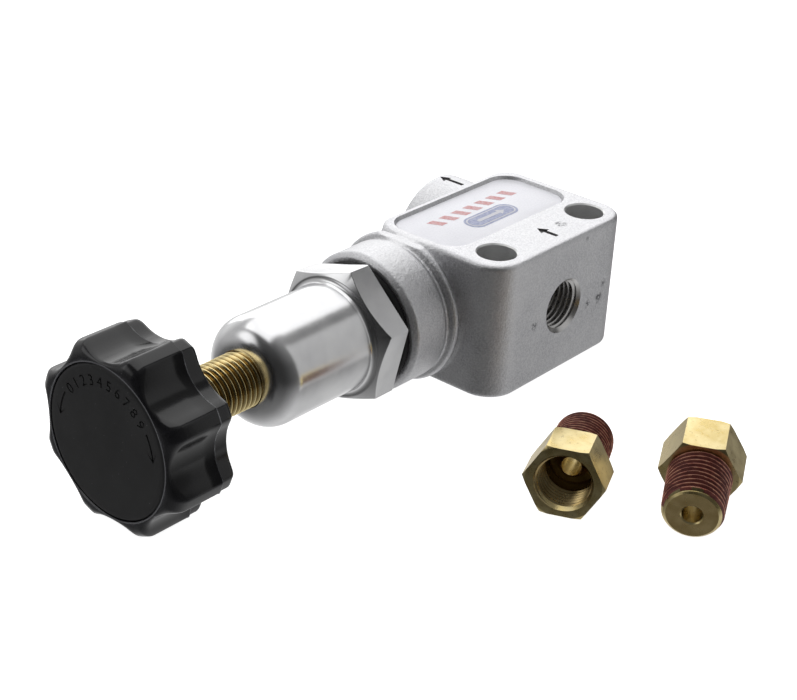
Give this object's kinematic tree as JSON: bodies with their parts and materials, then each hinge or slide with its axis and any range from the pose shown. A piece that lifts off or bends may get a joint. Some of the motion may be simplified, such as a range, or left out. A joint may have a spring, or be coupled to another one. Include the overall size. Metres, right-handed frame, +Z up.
{
  "type": "adjustable flow control valve",
  "caption": "Adjustable flow control valve: cast ported block, hexagon bonnet, threaded adjuster with a lobed knob, sprung metering piston and loose brass port adapters.",
  "frame": {"origin": "midway between the two mounting holes, on the block's bottom face", "axes": "+X along the valve's axis from the knob to the block, inlet toward -Y, outlet toward +Y, +Z up through the mounting holes"},
  "size_m": [0.1061, 0.0857, 0.0306],
  "materials": {
    "cast_aluminium": "bead-blasted casting, matte",
    "turned_aluminium": "satin turned",
    "black_plastic": "moulded, semi-gloss",
    "brass": "turned, bright",
    "adapter_brass": "turned, slightly dull, thread sealant on the male thread",
    "black_rubber": "matte",
    "label_film": "satin pale film",
    "spring_steel": "oiled",
    "bearing_steel": "ground",
    "zinc_steel": "zinc plated",
    "white_polymer": "waxy"
  },
  "bodies": {
    "housing": {"valve_body": "cast_aluminium", "label_plate": "label_film", "bonnet": "turned_aluminium", "bonnet_seal": "black_rubber", "guide_bushing": "brass", "bushing_seal": "black_rubber", "piston_seal": "black_rubber", "backup_ring": "white_polymer", "spacer_sleeve": "brass", "seal_washer": "zinc_steel", "metering_seal": "black_rubber", "main_spring": "spring_steel"},
    "spring_carrier": {"thrust_ball": "bearing_steel", "spring_seat": "zinc_steel"},
    "adjuster": {"adjuster_screw": "brass", "knob": "black_plastic", "knob_cap": "black_plastic", "screw_clip": "spring_steel"},
    "metering_piston": {"piston": "bearing_steel", "piston_spring_seat": "zinc_steel", "piston_clip": "spring_steel"},
    "inlet_adapter": {"inlet_adapter": "adapter_brass"},
    "outlet_adapter": {"outlet_adapter": "adapter_brass"}
  },
  "joints": [
    {"name": "adjuster_travel", "type": "slide", "parent": "housing", "child": "spring_carrier", "axis": [1, 0, 0], "range_m": [-0.00106, 0.0106], "deforming": ["main_spring"]},
    {"name": "adjuster_turn", "type": "hinge", "parent": "spring_carrier", "child": "adjuster", "pos_m": [-0.0803, 0.0145, 0.0125], "axis": [1, 0, 0], "range_deg": [-360, 3600]},
    {"name": "piston_travel", "type": "slide", "parent": "housing", "child": "metering_piston", "axis": [-1, 0, 0], "range_m": [0, 0.0015], "stiffness_N_per_m": 9200, "springref_m": -0.002, "deforming": ["main_spring"]},
    {"name": "inlet_adapter_lift", "type": "slide", "parent": "housing", "child": "inlet_adapter", "axis": [0, 0, 1], "range_m": [0, 0.05]},
    {"name": "outlet_adapter_lift", "type": "slide", "parent": "housing", "child": "outlet_adapter", "axis": [0, 0, 1], "range_m": [0, 0.05]}
  ],
  "couplings": [
    {"joint": "adjuster_travel", "follows": "adjuster_turn", "m_per_rad": 0.00016839}
  ]
}
